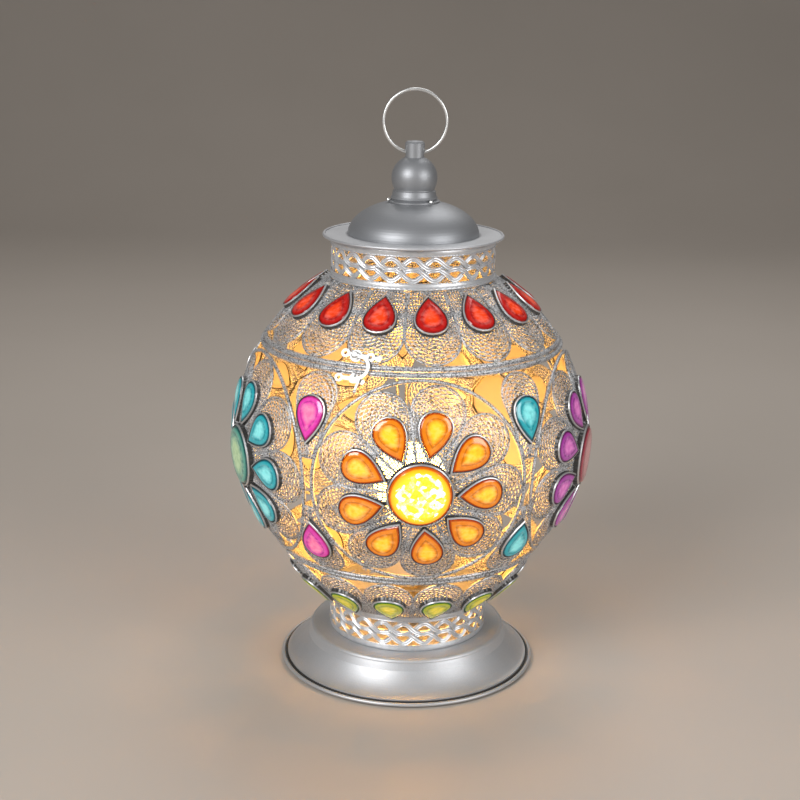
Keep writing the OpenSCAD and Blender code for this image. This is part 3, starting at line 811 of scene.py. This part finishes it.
def gem_profile(sizes, radius, top, table):
    """Rows of a stone from its back's middle, over the girdle, to its table's middle."""
    h = sizes.cup_h
    shares = [
        (0.0, 0.4 * MM),
        (0.5, 0.4 * MM),
        (0.995, 0.5 * MM),
        (0.995, h - 0.35 * MM),
        (0.95, h + 0.25 * (top - h)),
        ((1 + table) / 2, h + 0.68 * (top - h)),
        (table, h + 0.93 * (top - h)),
        (table * 0.75, top - 0.03 * (top - h)),
        (table * 0.4, top),
        (0.0, top),
    ]
    return [(radius * (share - 1), height) for share, height in shares]


def pear_gem(sizes, pear):
    top, table, columns = sizes.cup_h + sizes.crown_h, 0.66, 36
    profile = gem_profile(sizes, pear.round_r, top, table)
    return turned("pear_gem", pear, columns, profile, smooth=24)


def circle_outline(radius):
    def point(u, grow):
        return (radius + grow) * cos(2 * pi * u), (radius + grow) * sin(2 * pi * u)

    return point


def half_dihedral(half_step, away):
    """Half the angle between a petal's flanks in its own plane, for an apex this far away."""
    return atan(tan(radians(half_step)) * cos(radians(away)))


# ---- operators ----


class LampOperator:
    """What every step of the build shares."""

    bl_options = {"REGISTER", "UNDO"}

    @property
    def sizes(self):
        return bpy.context.scene.lamp_sizes

    def globe(self):
        return Globe(self.sizes)


FINISHES = {}


class LAMP_OT_finishes(LampOperator, bpy.types.Operator):
    """Makes the finishes and gives them to the frame's own parts"""

    bl_idname = "lamp.finishes"
    bl_label = "Finishes"

    def execute(self, context):
        FINISHES.update(make_finishes(context.scene.lamp_colours))
        slots = {part["node"]: part["material_slot"] for part in frame["record"]["subparts"]}
        for name, node in frame["nodes"].items():
            node.data.materials.clear()
            node.data.materials.append(FINISHES[slots[name]])
        return {"FINISHED"}


class LAMP_OT_medallions(LampOperator, bpy.types.Operator):
    """Models the five medallions: pierced petals in a round wire frame"""

    bl_idname = "lamp.medallions"
    bl_label = "Medallions"

    def execute(self, context):
        sizes, globe = self.sizes, self.globe()
        pear = Pear(sizes)
        half = 180 / globe.petal_count - globe.petal_slit
        apex = globe.r * tan(radians(globe.petal_reach))
        edge = globe.medallion_a - globe.frame_clear
        end = globe.r * tan(radians(edge - globe.petal_reach))
        low = -apex + sizes.round_d / 2 + sizes.cup_t
        lobe = Lobe(apex, half_dihedral(half, globe.petal_reach), end, low)
        petal = pierced_petal("petal", sizes, pear, lobe, globe.onto_sphere)
        spread = radians(globe.medallion_a)
        frame_r, frame_z = globe.r * sin(spread), globe.r * (cos(spread) - 1)
        frame_wire = ring("frame_wire", frame_r, frame_z, sizes.frame_r, 144)
        for index, name in enumerate(MEDALLIONS):
            petals = repeated("petals", petal, globe.petals(index))
            wire = repeated("wire", frame_wire, [globe.on_medallion(index)])
            piece = joined("medallion_filigree_" + name, [petals, wire])
            fit(piece, "root", "silver_filigree", FINISHES["silver_filigree"],
                "medallion_" + name)
        forget(petal, frame_wire)
        return {"FINISHED"}


class LAMP_OT_medallion_stones(LampOperator, bpy.types.Operator):
    """Models the medallions' cups, pear stones and centre stones"""

    bl_idname = "lamp.medallion_stones"
    bl_label = "Medallion stones"

    def execute(self, context):
        sizes, globe = self.sizes, self.globe()
        pear = Pear(sizes)
        cup, gem = pear_cup(sizes, pear), pear_gem(sizes, pear)
        t, h, r = sizes.cup_t, sizes.cup_h, sizes.round_d / 2
        sink = globe.r - sqrt(globe.r**2 - r**2)
        outline, clear = circle_outline(r), 0.02 * MM
        cup_profile = [
            (clear, -sink),
            (t + 0.4 * MM, -sink - 0.5 * MM),
            (t + 0.1 * MM, 0.8 * MM),
            (t, h - 1 * MM),
            (t + 0.25 * MM, h - 0.5 * MM),
            (t * 0.5, h + 0.15 * MM),
            (0.03 * MM, h - 0.1 * MM),
            (clear, -sink),
        ]
        centre_cup = turned("centre_cup", outline, 72, cup_profile, smooth=40)
        top, table = h + 2 * sizes.crown_h, 0.8
        profile = gem_profile(sizes, r, top, table)
        centre_gem = turned("centre_gem", outline, 48, profile, smooth=24)
        cups = []
        for index, name in enumerate(MEDALLIONS):
            places = globe.petals(index)
            cups.append(repeated("cups", cup, places))
            cups.append(repeated("cup", centre_cup, [globe.on_medallion(index)]))
            slot = name + "_stone"
            gems = repeated("pear_stones_" + name, gem, places)
            fit(gems, "root", slot, FINISHES[slot], "petal_stones_" + name)
            slot = {"amber": "crackle_amber_stone", "teal": "sea_green_stone"}.get(
                CENTRES[index], CENTRES[index] + "_stone")
            middle = repeated("round_stone_" + CENTRES[index], centre_gem,
                              [globe.on_medallion(index)])
            fit(middle, "root", slot, FINISHES[slot], "centre_stone_" + CENTRES[index])
        fit(joined("medallion_cups", cups), "root", "bezel_silver", FINISHES["bezel_silver"],
            "medallion_bezels")
        forget(cup, gem, centre_cup, centre_gem)
        return {"FINISHED"}


class LAMP_OT_gaps(LampOperator, bpy.types.Operator):
    """Models the petals, cups and stones in the gaps between the medallions"""

    bl_idname = "lamp.gaps"
    bl_label = "Gaps"

    def execute(self, context):
        sizes, globe = self.sizes, self.globe()
        pear = Pear(sizes)
        cup, gem = pear_cup(sizes, pear), pear_gem(sizes, pear)
        apex = globe.r * tan(radians(globe.gap_up))
        lobe = Lobe(apex, radians(globe.gap_half), globe.gap_end, globe.gap_low)
        petal = pierced_petal("gap_petal", sizes, pear, lobe, globe.onto_sphere)
        gaps = range(len(MEDALLIONS))
        for side, name in ((1, "upper"), (-1, "lower")):
            places = [globe.gap(index, side) for index in gaps]
            piece = repeated("gap_filigree_" + name, petal, places)
            fit(piece, "root", "silver_filigree", FINISHES["silver_filigree"],
                "gap_panels_" + name)
        both = [globe.gap(index, side) for index in gaps for side in (-1, 1)]
        fit(repeated("gap_cups", cup, both), "root", "bezel_silver",
            FINISHES["bezel_silver"], "gap_bezels")
        for name, slot, where in (
            ("pink", "rose_stone", (1, 4)),
            ("teal", "teal_stone", (0, 2, 3)),
        ):
            places = [globe.gap(index, side) for index in where for side in (-1, 1)]
            fit(repeated("gap_gems_" + name, gem, places), "root", slot, FINISHES[slot],
                "gap_stones_" + name)
        forget(cup, gem, petal)
        return {"FINISHED"}


class LAMP_OT_lid(LampOperator, bpy.types.Operator):
    """Models the lid's fifteen petals with their cups and red stones"""

    bl_idname = "lamp.lid"
    bl_label = "Lid"

    def execute(self, context):
        sizes, globe = self.sizes, self.globe()
        pear = Pear(sizes)
        cup, gem = pear_cup(sizes, pear), pear_gem(sizes, pear)
        away = 90 - globe.red_lat
        apex = globe.r * tan(radians(away))
        end = globe.r * tan(radians(globe.red_lat - globe.lid_edge_lat))
        upper_lat = acos(globe.gallery_r / globe.r)
        low = -globe.r * tan(upper_lat - radians(globe.red_lat))
        half = half_dihedral(180 / RING_STONES - globe.ring_slit, away)
        lobe = Lobe(apex, half, end, low)
        petal = pierced_petal("lid_petal", sizes, pear, lobe, globe.onto_sphere)
        fit(repeated("lid_petals", petal, globe.red()), "lid", "silver_filigree",
            FINISHES["silver_filigree"], "lid_filigree")
        fit(repeated("red_cups", cup, globe.red()), "lid", "bezel_silver",
            FINISHES["bezel_silver"], "red_bezels")
        fit(repeated("red_gems", gem, globe.red()), "lid", "red_stone",
            FINISHES["red_stone"], "red_stones")
        forget(cup, gem, petal)
        return {"FINISHED"}


class LAMP_OT_bowl(LampOperator, bpy.types.Operator):
    """Models the petals, cups and green stones of the bowl below the globe"""

    bl_idname = "lamp.bowl"
    bl_label = "Bowl"

    def execute(self, context):
        sizes, globe = self.sizes, self.globe()
        pear = Pear(sizes)
        cup, gem = pear_cup(sizes, pear), pear_gem(sizes, pear)
        apex = globe.bowl_r / tan(globe.bowl_mid)
        away = 90 - degrees(globe.bowl_mid)
        half = half_dihedral(180 / RING_STONES - globe.ring_slit, away)
        end = globe.bowl_r * tan(globe.bowl_mid - globe.bowl_high) - globe.green_under_seam
        low = -globe.bowl_r * tan(globe.bowl_low - globe.bowl_mid)
        lobe = Lobe(apex, half, end, low)
        petal = pierced_petal("bowl_petal", sizes, pear, lobe, globe.onto_bowl)
        fit(repeated("bowl_petals", petal, globe.green()), "root", "silver_filigree",
            FINISHES["silver_filigree"], "lower_bowl")
        fit(repeated("green_cups", cup, globe.green()), "root", "bezel_silver",
            FINISHES["bezel_silver"], "green_bezels")
        fit(repeated("green_gems", gem, globe.green()), "root", "lime_stone",
            FINISHES["lime_stone"], "green_stones")
        forget(cup, gem, petal)
        return {"FINISHED"}


def hoop(name, radius, low, high, thick):
    """Flat ring with rounded edges around the lamp's axis."""
    soft = min(thick, high - low) * 0.3
    outline = [
        (-thick, low), (-soft, low), (0, low + soft), (0, high - soft), (-soft, high),
        (-thick, high), (-thick, low),
    ]

    def place(u, v):
        across, height = outline[round(v * (len(outline) - 1))]
        r, a = radius + across, 2 * pi * u
        return Vector((r * cos(a), r * sin(a), height))

    return sheet(name, 144, len(outline) - 1, place, 50)


def strand(name, radius, middle, index, lens_turn):
    """Wavy ribbon with three raised lines, which passes over and under its neighbours."""
    repeats, height, lift, sunk, steps = 24, 6.3 * MM, 0.42 * MM, 0.75 * MM, 10
    period = 2 * pi * radius / repeats
    lines = [  # across the ribbon and out of it, in mm
        (-1.6, 0.10), (-1.35, 0.50), (-1.0, 0.12), (-0.35, 0.12), (0, 0.42), (0.35, 0.12),
        (1.0, 0.12), (1.35, 0.50), (1.6, 0.10), (1.5, -0.3), (-1.5, -0.3), (-1.6, 0.10),
    ]

    def wave(x):
        return height * cos(pi * x / (2 * period)) ** 3

    def place(u, v):
        x = u * repeats * period
        along = x - index * period
        t = along / period
        slope = (wave(along + MM) - wave(along - MM)) / (2 * MM)
        size = hypot(1, slope)
        across, out = lines[round(v * (len(lines) - 1))]
        shift_x, shift_z = -slope / size * across * MM, across * MM / size
        over = -cos(2 * pi * t) * tanh(3 * sin(pi * t / 2))
        r = radius - sunk + lift * over + out * MM
        a = (x + shift_x) / radius + radians(lens_turn)
        return Vector((r * sin(a), -r * cos(a), middle + wave(along) + shift_z))

    return sheet(name, repeats * steps, len(lines) - 1, place, 50)


def woven_band(name, node, lens_turn, foot_rail):
    """Openwork band of four woven ribbons between two rails."""
    low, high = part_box(node)
    middle, half = (low.z + high.z) / 2, (high.z - low.z) / 2
    radius, strands, columns = Globe.gallery_r, 4, 480
    rail, rail_t, cord, bead = 7.7 * MM, 1.1 * MM, 0.42 * MM, 0.95 * MM
    parts = [strand(name, radius, middle, index, lens_turn) for index in range(strands)]
    parts.append(hoop(name, radius, middle + rail, middle + half, rail_t))
    parts.append(hoop(name, radius, middle - half, middle - rail, rail_t))
    for height in (rail + 0.1 * MM, -rail - 0.1 * MM, half - 0.5 * MM):
        height += middle
        parts.append(ring(name, radius, height, cord, columns, 6, twist=160, depth=0.25))
    if foot_rail:
        height = middle - half + 0.9 * MM
        parts.append(ring(name, radius, height, bead, columns, 8, twist=96, depth=0.22))
    return joined(name, parts)


class LAMP_OT_bands(LampOperator, bpy.types.Operator):
    """Models the two openwork bands above and below the globe"""

    bl_idname = "lamp.bands"
    bl_label = "Bands"

    def execute(self, context):
        upper = woven_band("upper_band", "upper_gallery", 0.0, True)
        fit(upper, "lid", "silver_filigree", FINISHES["ribbon_silver"], "upper_gallery")
        lower = woven_band("lower_band", "lower_gallery", -2.6, False)
        fit(lower, "root", "silver_filigree", FINISHES["ribbon_silver"], "lower_gallery")
        return {"FINISHED"}


class LAMP_OT_stage(LampOperator, bpy.types.Operator):
    """Sets the camera, the floor and the soft studio light"""

    bl_idname = "lamp.stage"
    bl_label = "Stage"

    def execute(self, context):
        scene = context.scene
        pitch, yaw, roll, lens = 0.273245, -0.0074805, 0.0149491, 66.70
        ahead = Vector((sin(yaw) * cos(pitch), cos(yaw) * cos(pitch), -sin(pitch)))
        right = ahead.cross(Vector((0, 0, 1))).normalized()
        up = right.cross(ahead)
        x_axis = right * cos(roll) + up * sin(roll)
        y_axis = up * cos(roll) - right * sin(roll)
        choose()
        bpy.ops.object.camera_add()
        camera = context.object
        camera.matrix_world = (
            shift(0, -866.85 * MM, 409.07 * MM)
            @ Matrix((x_axis, y_axis, -ahead)).transposed().to_4x4()
        )
        camera.data.lens = lens
        camera.data.clip_start = 0.01
        scene.camera = camera

        front, depth, bend, rise, wide = 12, 1.6, 1.2, 4, 30
        arc = pi / 2 * bend
        whole = front + depth + arc + rise

        def place(u, v):
            way = v * whole - front
            x = (u - 0.5) * wide
            if way < depth:
                return Vector((x, way, 0))
            if way < depth + arc:
                a = (way - depth) / bend
                return Vector((x, depth + bend * sin(a), bend * (1 - cos(a))))
            return Vector((x, depth + bend, bend + way - depth - arc))

        floor = sheet("floor", 4, 192, place, 80)
        finish = Finish("pale_floor")
        cloud = finish.noise(0.3, 3)
        finish.set(
            base_color=finish.mix(cloud, (0.40, 0.355, 0.31), (0.44, 0.39, 0.345)),
            roughness=0.5 + cloud * 0.1,
        )
        floor.data.materials.append(finish.material)

        for spot, aim, width, power in (
            ((-1.0, -1.3, 1.0), (0, 0, 0.16), 0.9, 31),
            ((1.2, -1.0, 0.7), (0, 0, 0.16), 0.9, 16),
            ((0.2, 0.9, 1.5), (0, 0, 0.2), 1.0, 10),
        ):
            bpy.ops.object.light_add(type="AREA", location=spot)
            light = context.object
            light.data.size = width
            light.data.energy = power
            beam = Vector(aim) - Vector(spot)
            light.rotation_euler = beam.to_track_quat("-Z", "Y").to_euler()
        world = bpy.data.worlds.new("room")
        scene.world = world
        world.use_nodes = True
        backdrop = world.node_tree.nodes["Background"]
        backdrop.inputs["Color"].default_value = (0.50, 0.50, 0.50, 1)
        backdrop.inputs["Strength"].default_value = 0.34
        scene.view_settings.view_transform = "Standard"
        return {"FINISHED"}


STEPS = (
    LAMP_OT_finishes,
    LAMP_OT_medallions,
    LAMP_OT_medallion_stones,
    LAMP_OT_gaps,
    LAMP_OT_lid,
    LAMP_OT_bowl,
    LAMP_OT_bands,
    LAMP_OT_stage,
)


class LAMP_PT_build(bpy.types.Panel):
    """Lists the steps of the lamp's build"""

    bl_label = "Filigree Globe Lamp"
    bl_idname = "LAMP_PT_build"
    bl_space_type = "VIEW_3D"
    bl_region_type = "UI"
    bl_category = "Lamp"

    def draw(self, context):
        for group in (context.scene.lamp_sizes, context.scene.lamp_colours):
            for key in group.__annotations__:
                self.layout.prop(group, key)
        for step in STEPS:
            self.layout.operator(step.bl_idname)


CLASSES = (LampSizes, LampColours, *STEPS, LAMP_PT_build)


def register():
    for item in CLASSES:
        bpy.utils.register_class(item)
    bpy.types.Scene.lamp_sizes = PointerProperty(type=LampSizes)
    bpy.types.Scene.lamp_colours = PointerProperty(type=LampColours)


def unregister():
    del bpy.types.Scene.lamp_colours
    del bpy.types.Scene.lamp_sizes
    for item in reversed(CLASSES):
        bpy.utils.unregister_class(item)


def main():
    register()
    for step in STEPS:
        group, name = step.bl_idname.split(".")
        getattr(getattr(bpy.ops, group), name)()


if __name__ == "__main__":
    main()
